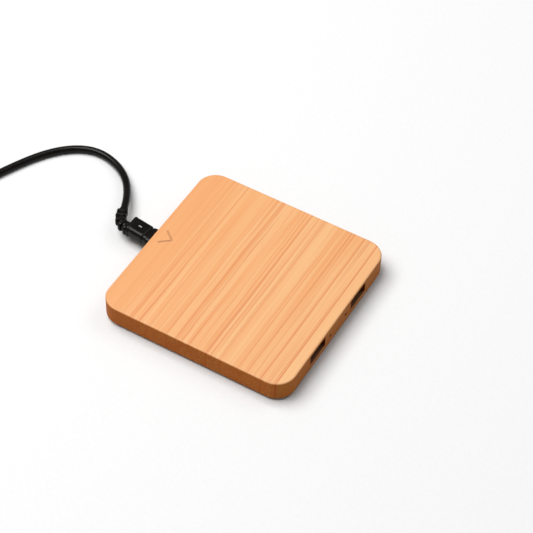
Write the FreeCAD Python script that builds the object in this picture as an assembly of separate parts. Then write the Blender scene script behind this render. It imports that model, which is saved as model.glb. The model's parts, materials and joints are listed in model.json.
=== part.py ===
import FreeCAD, Part
import math
import os

from FreeCAD import Vector

# Wireless charging pad in a bamboo case, with two USB-A output sockets and a detachable
# micro-USB power cable. Millimetres. X runs from the power inlet (-X) to the USB sockets (+X),
# Y runs along the side that carries the sockets, Z is up. The origin is on the table, under
# the middle of the pad.

# --- case -------------------------------------------------------------------------------------
CASE_X = 92.0
CASE_Y = 91.0
CASE_H = 10.0
CASE_CORNER = 9.0
EDGE_ROUND = 0.8
FOOT_PROUD = 1.0
CASE_Z0 = FOOT_PROUD
CASE_Z1 = CASE_Z0 + CASE_H
HALF_X = CASE_X / 2
SKIN = 2.0                    # wood left over the charging coil
CEILING_Z = CASE_Z1 - SKIN
POCKET_WIDE_X = 80.0          # the pocket is a cross, so that wood is left in its corners
POCKET_WIDE_Y = 60.0
POCKET_TALL_X = 62.0
POCKET_TALL_Y = 79.0
POCKET_CORNER = 3.0
MARK_TIP_X = -37.2            # alignment chevron burnt into the top, pointing at the coil
MARK_TAIL_X = -41.7
MARK_TAIL_Y = 3.6
MARK_STROKE = 0.9
MARK_DEPTH = 0.15
PAST = 1.0                    # how far a cutter reaches beyond the face that it opens

# --- bottom cover, feet and screws --------------------------------------------------------------
COVER_X = 89.0
COVER_Y = 88.0
COVER_T = 1.4
COVER_CORNER = 7.5
COVER_GAP = 0.2
COVER_Z1 = CASE_Z0 + COVER_T
FOOT_R = 5.0
FOOT_RECESS = 0.6
FOOT_SLACK = 0.1
FOOT_ROUND = 0.4
FOOT_AT = (29.0, 28.5)
COVER_SCREW_AT = (36.0, 35.5)
SCREW_R = 1.0
SCREW_HEAD_R = 1.9
SCREW_HEAD_H = 1.0
SCREW_LENGTH = 5.6
SCREW_TIP_R = 0.3
SCREW_TIP_LENGTH = 0.8
SCREW_SUNK = 0.1              # the heads sit this far below the cover's face
SCREW_SLACK = 0.05
SCREW_CLEARANCE = 0.2         # round the heads and shanks in the cover, and past their tips
DRIVER_SPAN = 1.1             # length of the driver's slots, in head radii
DRIVER_SLOT = 0.45
DRIVER_DEPTH = 0.5
STANDOFF_H = 0.5
STANDOFF_R = 2.3
BOARD_SCREW_R = 0.8
BOARD_SCREW_HEAD_R = 1.7
BOARD_SCREW_HEAD_H = 0.9
BOARD_SCREW_HEAD_ROUND = 0.3
BOARD_SCREW_CLEARANCE = 0.3
BOARD_SCREW_LENGTH = 1.9
BOARD_SCREW_AT = ((-34.0, -24.0), (-34.0, 24.0), (20.0, -26.0), (20.0, 26.0))

# --- circuit board ------------------------------------------------------------------------------
BOARD_T = 1.2
BOARD_Z0 = COVER_Z1 + STANDOFF_H
BOARD_Z1 = BOARD_Z0 + BOARD_T
BOARD_HALF_X = 38.5
BOARD_HALF_Y = 28.0
BOARD_PORT_X = 43.6
BOARD_PORT_HALF_Y = 24.8
BOARD_INLET_X = -44.0
BOARD_INLET_HALF_Y = 4.8

# --- USB-A output sockets -----------------------------------------------------------------------
PORT_Y = 17.6
PORT_W = 13.1
PORT_H = 5.7
PORT_SHEET = 0.3
PORT_LENGTH = 14.0
PORT_BEND_R = 0.5
PORT_GAP = 0.3                # between the sockets and the wood
PORT_WALL = 1.5               # wood left in front of the sockets
PORT_MOUTH_X = HALF_X - PORT_WALL - PORT_GAP
PORT_BACK_X = PORT_MOUTH_X - PORT_LENGTH
PORT_Z0 = BOARD_Z1
PORT_MID_Z = PORT_Z0 + PORT_H / 2
PORT_POCKET_HALF_Y = 25.5
PORT_POCKET_Z = PORT_Z0 + PORT_H + 0.2
PORT_POCKET_X = PORT_BACK_X - 1.0
WINDOW_W = 12.9
WINDOW_H = 5.6
WINDOW_ROUND = 0.3
TONGUE_W = 11.0
TONGUE_T = 1.9
TONGUE_ABOVE = 0.65
TONGUE_SETBACK = 2.8
PORT_BLOCK = 2.5
TONGUE_CHAMFER = 0.4
CONTACT_Y = (-3.5, -1.0, 1.0, 3.5)
CONTACT_W = 1.0
CONTACT_T = 0.2
CONTACT_SETBACK = 0.6         # from the tongue's front
CONTACT_TAIL = 0.5            # behind the socket

# --- indicator lights ---------------------------------------------------------------------------
LED_Y = 6.8
LED_Z = CASE_Z0 + 5.0
LED_HOLE_R = 0.65
LED_R = 0.9
LED_TIP_X = HALF_X - PORT_WALL - 0.2
LED_LENGTH = 3.4
LED_ROUND = 0.7
LED_LEAD = 0.4
LED_LEAD_PITCH = 1.2
LED_LEAD_RUN = 0.8

# --- micro-USB power inlet ----------------------------------------------------------------------
INLET_WALL = 1.4
INLET_MOUTH_X = -HALF_X + INLET_WALL + 0.2
INLET_LENGTH = 5.4
INLET_W = 7.7
INLET_H = 2.7
INLET_SHEET = 0.25
INLET_KEY = 0.7
INLET_LIFT = 0.65             # the inlet stands on short legs
INLET_MID_Z = BOARD_Z1 + INLET_LIFT + INLET_H / 2
INLET_LEG = 0.9
INLET_LEG_AT = (0.9, 3.6)     # from the mouth
INLET_SLOT_W = 8.4
INLET_SLOT_H = 3.4
INLET_SLOT_ROUND = 1.2
INLET_POCKET_HALF_Y = 5.5
INLET_BLOCK = 0.8
INLET_TONGUE_SETBACK = 1.2
INLET_TONGUE_W = 5.6
INLET_TONGUE_T = 0.4
INLET_TONGUE_ABOVE = 0.2      # its underside, above the inlet's middle
MICRO_CONTACT_PITCH = 0.65
MICRO_CONTACT_W = 0.3
MICRO_CONTACT_T = 0.1
MICRO_CONTACT_SETBACK = 0.3

# --- transmitter coil ---------------------------------------------------------------------------
COIL_TAPE_T = 0.2
COIL_TAPE_R = 23.0
LITZ_R = 0.45
LITZ_PITCH = 1.0
LITZ_INNER_R = 10.5
LITZ_HALF_TURNS = 19
LITZ_Z = CEILING_Z - COIL_TAPE_T - LITZ_R
FERRITE_SIDE = 50.0
FERRITE_T = 1.2
FERRITE_Z1 = LITZ_Z - LITZ_R
FERRITE_Z0 = FERRITE_Z1 - FERRITE_T
FERRITE_CORNER = 3.0
FERRITE_SLOT_W = 1.4
LEAD_DROP_Y = 26.6
LEAD_GAP = 0.05
FOAM_SIDE = 8.0
FOAM_AT = 16.0

# --- parts on the board: size, then place ---------------------------------------------------------
CHARGE_CONTROLLER = ((5.0, 5.0, 0.9), (-30.0, 9.0))
BRIDGE_DRIVER = ((6.0, 5.0, 1.1), (-30.0, -9.0))
PORT_REGULATOR = ((4.9, 3.9, 1.5), (24.0, 0.0))
INDUCTOR = ((6.0, 6.0, 2.2), (0.0, 7.0))
INDUCTOR_CHAMFER = 0.6
RESONANT_CAP = (3.2, 1.6, 1.6)
RESONANT_CAP_AT = ((-2.0, 2.0), (-6.0, -3.5))
SMALL_CAP = (1.6, 0.8, 0.8)
SMALL_CAP_COLUMNS = (-24.5, 30.0)
RESISTOR = (1.6, 0.8, 0.45)
RESISTOR_COLUMNS = (-35.5, 34.0)
CHIP_ROWS = (-4.5, -1.5, 1.5, 4.5)

# --- power cable: micro-USB plug ------------------------------------------------------------------
PLUG_Z = INLET_MID_Z
PLUG_FACE_X = -HALF_X - 0.3
PLUG_W = 6.85
PLUG_H = 1.8
PLUG_SHEET = 0.2
PLUG_KEY = 0.5
PLUG_REACH = 6.0
PLUG_BLOCK = 0.8
PLUG_TIP_GAP = 0.4
PLUG_CONTACT_DROP = 0.2       # below the plug's middle
COLLAR_LENGTH = 2.6
COLLAR_SIZE = (9.6, 6.2)
COLLAR_CORNER = 2.0
COLLAR_ROUND = 0.5
NECK_LENGTH = 0.9
NECK_SIZE = (8.4, 5.4)
NECK_CORNER = 1.8
NECK_OVERLAP = 1.2
GRIP_LENGTH = 9.0
GRIP_SIZE = (9.0, 6.2)
GRIP_CORNER = 2.0
GRIP_FRONT_ROUND = 1.2
GRIP_BACK_ROUND = 0.5
GRIP_YAW = 7.0                # the soft grip is pulled askew by the cord
GRIP_X1 = PLUG_FACE_X - COLLAR_LENGTH - NECK_LENGTH
GRIP_X0 = GRIP_X1 - GRIP_LENGTH
NUB_SIZE = (2.4, 1.1, 0.4)
NUB_ROUND = 0.5
NUB_SUNK = 0.1

# --- power cable: bent strain relief ----------------------------------------------------------------
RELIEF_CORE_R = 2.0
RELIEF_STRAIGHT = 2.6
RELIEF_BEND_R = 5.2
RELIEF_TURN = 68.0
RELIEF_TAIL = 5.4
RELIEF_X = GRIP_X0 + 0.5      # its core starts inside the grip
RIB_T = 1.5
RIB_CORNER = 1.5
RIB_ROUND = 0.4
# each rib: place along the core, half width inside and outside the bend, and height
RIBS = ((2.3, 2.2, 3.2, 5.2), (4.6, 2.2, 2.9, 5.0), (7.0, 2.2, 2.8, 4.8), (9.6, 2.2, 2.9, 4.7),
        (12.1, 2.2, 2.8, 4.6))
FLANGE_T = 1.3
FLANGE_SIZE = (9.5, 6.4)
FLANGE_Y = 1.4
FLANGE_PROUD = 0.8
FLANGE_CORNER = 2.1
FLANGE_ROUND = 0.45

# --- power cable: cord ------------------------------------------------------------------------------
CORD_D = 3.5
CORD_R = CORD_D / 2
CORD_Z = CORD_R
COIL_AT = (-163.0, -14.0)
COIL_MEAN_R = 20.0
COIL_LAYER_TURNS = 4
COIL_LAYERS = 2
COIL_OUT_R = COIL_MEAN_R + COIL_LAYER_TURNS * CORD_R
COIL_IN_R = COIL_MEAN_R - COIL_LAYER_TURNS * CORD_R
COIL_H = COIL_LAYERS * CORD_D
COIL_ENTRY = -12.0            # angles on the coil where the cord joins and leaves it
COIL_EXIT = 186.0
TIE_ANGLE = 300.0
TIE_WIDTH = 8.0
TIE_T = 0.8
TIE_CORNER = 1.5
# route points between the strain relief and the coil, and between the coil and the USB-A plug
CORD_START = 13.0             # straight run out of the strain relief
CORD_START_DROP = 1.6
CORD_IN_POINTS = ((-86.0, 33.0, 2.2), (-103.0, 36.5, CORD_Z), (-118.5, 25.5, CORD_Z),
                  (-130.5, 2.5, CORD_Z))
CORD_OUT_POINTS = ((-189.6, -8.1, 4.85), (-193.3, 3.0, 4.1))

# --- power cable: USB-A plug ------------------------------------------------------------------------
USB_SHELL_SIZE = (12.0, 12.0, 4.5)
USB_SHEET = 0.3
USB_GRIP_SIZE = (22.0, 16.0, 8.0)
USB_RELIEF_LENGTH = 10.0
USB_Z = USB_GRIP_SIZE[2] / 2
USB_AT = (-194.5, 10.5)
USB_YAW = 96.0
USB_GRIP_CORNER = 2.5
USB_GRIP_ROUND = 1.0
USB_BEND_R = 0.4
USB_HOLE = (2.5, 2.2)
USB_HOLE_AT = (6.0, 2.9)
USB_TONGUE_T = 1.9
USB_TONGUE_SETBACK = 0.5
USB_SLACK = 0.05
USB_CONTACT_ENDS = (2.0, 1.4)
USB_RING_R = 2.5              # radius of the relief's first ring, and what each next one adds
USB_RING_STEP = 0.22
USB_RING_T = 1.3
USB_RING_PITCH = 2.4
USB_RINGS = 4
USB_RING_ROUND = 0.3
USB_RING_FIRST = 1.0
USB_RELIEF_TAIL_R = 2.1
USB_RELIEF_FRONT_R = 2.5

OUT = "parts"


# --- helpers ----------------------------------------------------------------------------------------
def slab(x0, x1, y0, y1, z0, z1):
    """A box between two corners, given as pairs of limits along each axis."""
    return Part.makeBox(x1 - x0, y1 - y0, z1 - z0, Vector(x0, y0, z0))


def block(size, centre, z0):
    """A box of size (x, y, z), centred at (x, y) and standing on z0."""
    half_x = size[0] / 2
    half_y = size[1] / 2
    return slab(centre[0] - half_x, centre[0] + half_x,
                centre[1] - half_y, centre[1] + half_y, z0, z0 + size[2])


def edges_along(shape, axis):
    """The straight edges that run along a unit axis."""
    found = []
    for edge in shape.Edges:
        if len(edge.Vertexes) == 2 and isinstance(edge.Curve, Part.Line):
            run = edge.Vertexes[1].Point - edge.Vertexes[0].Point
            if abs(abs(run.normalize().dot(axis)) - 1) < 1e-6:
                found.append(edge)
    return found


def edges_at(shape, axis, level):
    """The edges that lie whole in the plane at this level of an axis."""
    found = []
    for edge in shape.Edges:
        box = edge.BoundBox
        low = {"x": box.XMin, "z": box.ZMin}[axis]
        high = {"x": box.XMax, "z": box.ZMax}[axis]
        if abs(low - level) < 1e-4 and abs(high - level) < 1e-4:
            found.append(edge)
    return found


def rounded_slab(size_x, size_y, z0, z1, radius):
    """A centred slab with round vertical corners."""
    box = slab(-size_x / 2, size_x / 2, -size_y / 2, size_y / 2, z0, z1)
    return box.makeFillet(radius, edges_along(box, Vector(0, 0, 1)))


def bar_along_x(x0, x1, width, height, mid_z, radius, mid_y=0.0):
    """A bar of rounded-rectangle section that runs along X."""
    bar = slab(x0, x1, mid_y - width / 2, mid_y + width / 2, mid_z - height / 2, mid_z + height / 2)
    return bar.makeFillet(radius, edges_along(bar, Vector(1, 0, 0)))


def rod(radius, start, end):
    """A round rod between two points."""
    run = end - start
    return Part.makeCylinder(radius, run.Length, start, run)


def all_four(at):
    """The four corner places (+-x, +-y), front left first."""
    return [(sx * at[0], sy * at[1]) for sy in (-1, 1) for sx in (-1, 1)]


def fuse(shapes):
    """One clean solid from several that touch."""
    whole = shapes[0].multiFuse(shapes[1:]).removeSplitter()
    return whole.Solids[0] if len(whole.Solids) == 1 else whole


def group(shapes):
    """Separate solids kept in one node."""
    return Part.makeCompound([solid for shape in shapes for solid in shape.Solids])


def save(name, shape):
    """Writes one node's STEP file."""
    if not shape.isValid():
        raise ValueError(name + " is not a valid shape")
    shape.exportStep(OUT + "/" + name + ".step")
    print("%-26s %2d solids %9.1f mm3" % (name, len(shape.Solids), shape.Volume))


def countersunk_screw(x, y, z0):
    """A small cross-head wood screw that points up, with its head's face at z0."""
    head = Part.makeCone(SCREW_HEAD_R, SCREW_R, SCREW_HEAD_H, Vector(x, y, z0))
    shank_length = SCREW_LENGTH - SCREW_TIP_LENGTH
    shank = Part.makeCylinder(SCREW_R, shank_length, Vector(x, y, z0))
    tip = Part.makeCone(SCREW_R, SCREW_TIP_R, SCREW_TIP_LENGTH, Vector(x, y, z0 + shank_length))
    screw = fuse([head, shank, tip])
    return screw.cut(cross_recess(x, y, z0, SCREW_HEAD_R * DRIVER_SPAN))


def cross_recess(x, y, z0, span):
    """The crossed slots of a driver, standing on z0."""
    slot = (span, DRIVER_SLOT, DRIVER_DEPTH)
    return block(slot, (x, y), z0).fuse(block((slot[1], slot[0], slot[2]), (x, y), z0))


def pan_screw(x, y, z0):
    """A small cross-head screw that points down, with the underside of its head at z0."""
    head = Part.makeCylinder(BOARD_SCREW_HEAD_R, BOARD_SCREW_HEAD_H, Vector(x, y, z0))
    head = head.makeFillet(BOARD_SCREW_HEAD_ROUND, edges_at(head, "z", z0 + BOARD_SCREW_HEAD_H))
    shank = Part.makeCylinder(BOARD_SCREW_R, BOARD_SCREW_LENGTH, Vector(x, y, z0 - BOARD_SCREW_LENGTH))
    recess = cross_recess(x, y, z0 + BOARD_SCREW_HEAD_H - DRIVER_DEPTH, BOARD_SCREW_HEAD_R * DRIVER_SPAN)
    return fuse([head, shank]).cut(recess)


# --- case and cover -----------------------------------------------------------------------------------
def chevron():
    """The cutter for the alignment mark: two strokes that meet at a tip."""
    z0 = CASE_Z1 - MARK_DEPTH
    strokes = []
    for side in (-1, 1):
        run = Vector(MARK_TIP_X - MARK_TAIL_X, -side * MARK_TAIL_Y, 0)
        stroke = slab(-MARK_STROKE / 2, run.Length, -MARK_STROKE / 2, MARK_STROKE / 2, 0, PAST)
        stroke.rotate(Vector(0, 0, 0), Vector(0, 0, 1), math.degrees(math.atan2(run.y, run.x)))
        stroke.translate(Vector(MARK_TAIL_X, side * MARK_TAIL_Y, z0))
        strokes.append(stroke)
    return strokes[0].fuse(strokes[1])


def make_case():
    """The bamboo case: one milled block, open below, with the openings for sockets and lights."""
    case = rounded_slab(CASE_X, CASE_Y, CASE_Z0, CASE_Z1, CASE_CORNER)
    case = case.makeFillet(EDGE_ROUND, edges_at(case, "z", CASE_Z0) + edges_at(case, "z", CASE_Z1))
    rebate_x = COVER_X + 2 * COVER_GAP
    rebate_y = COVER_Y + 2 * COVER_GAP
    cutters = [
        rounded_slab(rebate_x, rebate_y, CASE_Z0 - PAST, COVER_Z1, COVER_CORNER + COVER_GAP),
        rounded_slab(POCKET_WIDE_X, POCKET_WIDE_Y, CASE_Z0, CEILING_Z, POCKET_CORNER),
        rounded_slab(POCKET_TALL_X, POCKET_TALL_Y, CASE_Z0, CEILING_Z, POCKET_CORNER),
        slab(PORT_POCKET_X, HALF_X - PORT_WALL, -PORT_POCKET_HALF_Y, PORT_POCKET_HALF_Y,
             CASE_Z0, PORT_POCKET_Z),
        slab(-HALF_X + INLET_WALL, 0, -INLET_POCKET_HALF_Y, INLET_POCKET_HALF_Y, CASE_Z0, CEILING_Z),
        bar_along_x(-HALF_X - PAST, 0, INLET_SLOT_W, INLET_SLOT_H, INLET_MID_Z, INLET_SLOT_ROUND),
        chevron(),
    ]
    for side in (-1, 1):
        cutters.append(bar_along_x(HALF_X - PORT_WALL - PAST, HALF_X + PAST, WINDOW_W, WINDOW_H,
                                   PORT_MID_Z, WINDOW_ROUND, side * PORT_Y))
        cutters.append(rod(LED_HOLE_R, Vector(HALF_X - PORT_WALL - PAST, side * LED_Y, LED_Z),
                           Vector(HALF_X + PAST, side * LED_Y, LED_Z)))
    hole_depth = SCREW_SUNK + SCREW_LENGTH + SCREW_CLEARANCE
    for x, y in all_four(COVER_SCREW_AT):
        cutters.append(Part.makeCylinder(SCREW_R + SCREW_SLACK, hole_depth, Vector(x, y, CASE_Z0)))
    return case.cut(cutters)


def make_cover():
    """The recessed bottom cover, with seats for the feet and standoffs for the board."""
    cover = rounded_slab(COVER_X, COVER_Y, CASE_Z0, COVER_Z1, COVER_CORNER)
    cover = fuse([cover] + [Part.makeCylinder(STANDOFF_R, STANDOFF_H, Vector(x, y, COVER_Z1))
                            for x, y in BOARD_SCREW_AT])
    cutters = []
    for x, y in all_four(FOOT_AT):
        cutters.append(Part.makeCylinder(FOOT_R + FOOT_SLACK, FOOT_RECESS + PAST, Vector(x, y, CASE_Z0 - PAST)))
    for x, y in all_four(COVER_SCREW_AT):
        cutters.append(Part.makeCylinder(SCREW_R + SCREW_CLEARANCE, COVER_T + PAST, Vector(x, y, CASE_Z0)))
        cutters.append(Part.makeCone(SCREW_HEAD_R + SCREW_CLEARANCE, SCREW_R + SCREW_CLEARANCE, SCREW_HEAD_H,
                                     Vector(x, y, CASE_Z0)))
    for x, y in BOARD_SCREW_AT:
        depth = BOARD_SCREW_LENGTH - BOARD_T + SCREW_SLACK
        cutters.append(Part.makeCylinder(BOARD_SCREW_R + SCREW_SLACK, depth, Vector(x, y, BOARD_Z0 - depth)))
    return cover.cut(cutters)


def make_foot(x, y):
    """One rubber foot, seated in the cover."""
    foot = Part.makeCylinder(FOOT_R, FOOT_PROUD + FOOT_RECESS, Vector(x, y, 0))
    return foot.makeFillet(FOOT_ROUND, edges_at(foot, "z", 0))


# --- board --------------------------------------------------------------------------------------------
def make_board():
    """The circuit board: a main field, a wide tab under the sockets and a small one at the inlet."""
    board = fuse([
        slab(-BOARD_HALF_X, BOARD_HALF_X, -BOARD_HALF_Y, BOARD_HALF_Y, BOARD_Z0, BOARD_Z1),
        slab(0, BOARD_PORT_X, -BOARD_PORT_HALF_Y, BOARD_PORT_HALF_Y, BOARD_Z0, BOARD_Z1),
        slab(BOARD_INLET_X, 0, -BOARD_INLET_HALF_Y, BOARD_INLET_HALF_Y, BOARD_Z0, BOARD_Z1),
    ])
    holes = [Part.makeCylinder(BOARD_SCREW_R + BOARD_SCREW_CLEARANCE, BOARD_T, Vector(x, y, BOARD_Z0))
             for x, y in BOARD_SCREW_AT]
    return board.cut(holes)


def chips_in_rows(size, columns, rows):
    """Equal small parts on the board, one for each column and row given."""
    return group([block(size, (x, y), BOARD_Z1) for x in columns for y in rows])


def make_inductor():
    """A moulded power inductor with chamfered upright edges."""
    body = block(*INDUCTOR, BOARD_Z1)
    return body.makeChamfer(INDUCTOR_CHAMFER, edges_along(body, Vector(0, 0, 1)))


# --- USB-A sockets --------------------------------------------------------------------------------------
def port_shell(y):
    """The folded steel shell of one USB-A socket, open at the mouth."""
    outer = bar_along_x(PORT_BACK_X, PORT_MOUTH_X, PORT_W, PORT_H, PORT_MID_Z, PORT_BEND_R, y)
    inner = bar_along_x(PORT_BACK_X - PAST, PORT_MOUTH_X + PAST, PORT_W - 2 * PORT_SHEET,
                        PORT_H - 2 * PORT_SHEET, PORT_MID_Z, PORT_BEND_R - PORT_SHEET, y)
    return outer.cut(inner)


def port_contacts(y):
    """Four spring contacts under the tongue, each turned down to the board at the back."""
    top = tongue_underside()
    back = PORT_BACK_X - CONTACT_TAIL
    strips = []
    for offset in CONTACT_Y:
        y0 = y + offset - CONTACT_W / 2
        along = slab(back, PORT_MOUTH_X - TONGUE_SETBACK - CONTACT_SETBACK, y0, y0 + CONTACT_W,
                     top - CONTACT_T, top)
        down = slab(back, back + CONTACT_T, y0, y0 + CONTACT_W, BOARD_Z1, top)
        strips.append(fuse([along, down]))
    return group(strips)


def tongue_underside():
    """Height of the face of the socket's tongue that carries the contacts."""
    return PORT_Z0 + PORT_H - PORT_SHEET - TONGUE_ABOVE - TONGUE_T


def port_tongue(y):
    """The plastic insert of one socket: a back block with the tongue that carries the contacts."""
    inner_h = PORT_H - 2 * PORT_SHEET
    back = bar_along_x(PORT_BACK_X, PORT_BACK_X + PORT_BLOCK, PORT_W - 2 * PORT_SHEET, inner_h,
                       PORT_MID_Z, PORT_BEND_R - PORT_SHEET, y)
    z0 = tongue_underside()
    tongue = slab(PORT_BACK_X + PORT_BLOCK / 2, PORT_MOUTH_X - TONGUE_SETBACK, y - TONGUE_W / 2,
                  y + TONGUE_W / 2, z0, z0 + TONGUE_T)
    tongue = tongue.makeChamfer(TONGUE_CHAMFER, edges_at(tongue, "x", PORT_MOUTH_X - TONGUE_SETBACK))
    return fuse([back, tongue]).cut(port_contacts(y))


def led(y):
    """One round indicator light, lying behind its hole."""
    body = rod(LED_R, Vector(LED_TIP_X - LED_LENGTH, y, LED_Z), Vector(LED_TIP_X, y, LED_Z))
    return body.makeFillet(LED_ROUND, edges_at(body, "x", LED_TIP_X))


def led_leads():
    """The wire legs of both lights, turned down to the board."""
    legs = []
    back = LED_TIP_X - LED_LENGTH
    end = back - LED_LEAD_RUN
    half = LED_LEAD / 2
    for side in (-1, 1):
        for pin in (-1, 1):
            y = side * LED_Y + pin * LED_LEAD_PITCH / 2
            along = slab(end, back, y - half, y + half, LED_Z - half, LED_Z + half)
            down = slab(end, end + LED_LEAD, y - half, y + half, BOARD_Z1, LED_Z)
            legs.append(fuse([along, down]))
    return group(legs)


# --- micro-USB inlet and plug -----------------------------------------------------------------------------
def keyed_bar(x0, x1, width, height, mid_z, key):
    """A bar along X whose two lower edges are cut off at a slant, the micro-USB section."""
    bar = slab(x0, x1, -width / 2, width / 2, mid_z - height / 2, mid_z + height / 2)
    lower = [e for e in edges_along(bar, Vector(1, 0, 0)) if e.BoundBox.ZMax < mid_z]
    return bar.makeChamfer(key, lower)


def micro_contacts(x0, x1, z0):
    """The five flat contacts of a micro-USB part."""
    strips = []
    for k in range(-2, 3):
        y0 = k * MICRO_CONTACT_PITCH - MICRO_CONTACT_W / 2
        strips.append(slab(x0, x1, y0, y0 + MICRO_CONTACT_W, z0, z0 + MICRO_CONTACT_T))
    return group(strips)


def make_inlet():
    """Shell on four legs, insert and contacts of the power inlet."""
    back_x = INLET_MOUTH_X + INLET_LENGTH
    inner_w = INLET_W - 2 * INLET_SHEET
    inner_h = INLET_H - 2 * INLET_SHEET
    shell = keyed_bar(INLET_MOUTH_X, back_x, INLET_W, INLET_H, INLET_MID_Z, INLET_KEY)
    shell = shell.cut(keyed_bar(INLET_MOUTH_X - PAST, back_x + PAST, inner_w, inner_h, INLET_MID_Z, INLET_KEY))
    legs = [block((INLET_LEG, INLET_SHEET, INLET_MID_Z - BOARD_Z1),
                  (INLET_MOUTH_X + along, side * (INLET_W - INLET_SHEET) / 2), BOARD_Z1)
            for along in INLET_LEG_AT for side in (-1, 1)]
    base = keyed_bar(back_x - INLET_BLOCK, back_x, inner_w, inner_h, INLET_MID_Z, INLET_KEY)
    half = INLET_TONGUE_W / 2
    front = INLET_MOUTH_X + INLET_TONGUE_SETBACK
    underside = INLET_MID_Z + INLET_TONGUE_ABOVE
    tongue = slab(front, back_x - INLET_BLOCK / 2, -half, half, underside, underside + INLET_TONGUE_T)
    contacts = micro_contacts(front + MICRO_CONTACT_SETBACK, back_x, underside - MICRO_CONTACT_T)
    return fuse([shell] + legs), fuse([base, tongue]).cut(contacts), contacts


def make_plug_front():
    """Shell, insert and contacts of the cable's micro-USB plug."""
    tip_x = PLUG_FACE_X + PLUG_REACH
    inner_w = PLUG_W - 2 * PLUG_SHEET
    inner_h = PLUG_H - 2 * PLUG_SHEET
    shell = keyed_bar(PLUG_FACE_X, tip_x, PLUG_W, PLUG_H, PLUG_Z, PLUG_KEY)
    shell = shell.cut(keyed_bar(PLUG_FACE_X - PAST, tip_x + PAST, inner_w, inner_h, PLUG_Z, PLUG_KEY))
    insert = keyed_bar(PLUG_FACE_X, tip_x - PLUG_TIP_GAP, inner_w, inner_h, PLUG_Z, PLUG_KEY)
    floor_z = PLUG_Z - PLUG_CONTACT_DROP
    upper = slab(PLUG_FACE_X + PLUG_BLOCK, tip_x, -inner_w, inner_w, floor_z, PLUG_Z + PLUG_H)
    contacts = micro_contacts(PLUG_FACE_X + PLUG_BLOCK, tip_x - 2 * PLUG_TIP_GAP, floor_z)
    return shell, insert.cut(upper), contacts


def askew(shape):
    """Turns a shape about the middle of the plug's face, as the soft grip is pulled."""
    shape.rotate(Vector(PLUG_FACE_X, 0, 0), Vector(0, 0, 1), -GRIP_YAW)
    return shape


def make_plug_body():
    """The moulded plug body: a collar against the case, a neck, the grip with a nub, and a flange."""
    collar_x0 = PLUG_FACE_X - COLLAR_LENGTH
    collar = bar_along_x(collar_x0, PLUG_FACE_X, *COLLAR_SIZE, PLUG_Z, COLLAR_CORNER)
    collar = collar.makeFillet(COLLAR_ROUND, edges_at(collar, "x", collar_x0))
    neck = bar_along_x(GRIP_X1 - NECK_OVERLAP, collar_x0 + NECK_OVERLAP, *NECK_SIZE, PLUG_Z, NECK_CORNER)
    grip = bar_along_x(GRIP_X0, GRIP_X1, *GRIP_SIZE, PLUG_Z, GRIP_CORNER)
    grip = grip.makeFillet(GRIP_BACK_ROUND, edges_at(grip, "x", GRIP_X0))
    grip = grip.makeFillet(GRIP_FRONT_ROUND, edges_at(grip, "x", GRIP_X1))
    nub = block(NUB_SIZE, ((GRIP_X0 + GRIP_X1) / 2, 0.0), PLUG_Z + GRIP_SIZE[1] / 2 - NUB_SUNK)
    nub = nub.makeFillet(NUB_ROUND, edges_along(nub, Vector(0, 0, 1)))
    flange_x0 = GRIP_X0 - FLANGE_PROUD
    flange_x1 = flange_x0 + FLANGE_T
    flange = bar_along_x(flange_x0, flange_x1, *FLANGE_SIZE, PLUG_Z, FLANGE_CORNER, FLANGE_Y)
    flange = flange.makeFillet(FLANGE_ROUND, edges_at(flange, "x", flange_x0) + edges_at(flange, "x", flange_x1))
    return fuse([collar, flange, askew(fuse([neck, grip, nub]))])


def relief_place(along):
    """Point and heading (degrees) at a distance along the relief's core."""
    centre_y = RELIEF_BEND_R
    bend_x = RELIEF_X - RELIEF_STRAIGHT
    arc = RELIEF_BEND_R * math.radians(RELIEF_TURN)
    if along <= RELIEF_STRAIGHT:
        return Vector(RELIEF_X - along, 0, PLUG_Z), 180.0
    turned = min((along - RELIEF_STRAIGHT) / RELIEF_BEND_R, math.radians(RELIEF_TURN))
    point = Vector(bend_x - RELIEF_BEND_R * math.sin(turned),
                   centre_y - RELIEF_BEND_R * math.cos(turned), PLUG_Z)
    heading = 180.0 - math.degrees(turned)
    rest = along - RELIEF_STRAIGHT - arc
    if rest > 0:
        point = point + unit(heading) * rest
    return point, heading


def unit(heading):
    """The level direction at a heading in degrees from +X."""
    return Vector(math.cos(math.radians(heading)), math.sin(math.radians(heading)), 0)


def relief_length():
    """Length of the relief's core."""
    return RELIEF_STRAIGHT + RELIEF_BEND_R * math.radians(RELIEF_TURN) + RELIEF_TAIL


def relief_rib(along, inside, outside, height):
    """One rounded rib, wider on the outside of the bend."""
    point, heading = relief_place(along)
    rib = slab(-RIB_T / 2, RIB_T / 2, -inside, outside, -height / 2, height / 2)
    rib = rib.makeFillet(RIB_CORNER, edges_along(rib, Vector(1, 0, 0)))
    rib = rib.makeFillet(RIB_ROUND, edges_at(rib, "x", -RIB_T / 2) + edges_at(rib, "x", RIB_T / 2))
    rib.rotate(Vector(0, 0, 0), Vector(0, 0, 1), heading)
    rib.translate(point)
    return rib


def make_relief():
    """The ribbed strain relief, set in a sharp bend away from the plug."""
    start, _ = relief_place(0)
    bend_start, _ = relief_place(RELIEF_STRAIGHT)
    arc = RELIEF_BEND_R * math.radians(RELIEF_TURN)
    middle, _ = relief_place(RELIEF_STRAIGHT + arc / 2)
    bend_end, _ = relief_place(RELIEF_STRAIGHT + arc)
    tail, _ = relief_place(relief_length())
    path = Part.Wire([Part.LineSegment(start, bend_start).toShape(),
                      Part.Arc(bend_start, middle, bend_end).toShape(),
                      Part.LineSegment(bend_end, tail).toShape()])
    core = sweep_round(path, start, Vector(-1, 0, 0), RELIEF_CORE_R)
    whole = fuse([core] + [relief_rib(*rib) for rib in RIBS])
    return whole.cut(make_plug_body())


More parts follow.
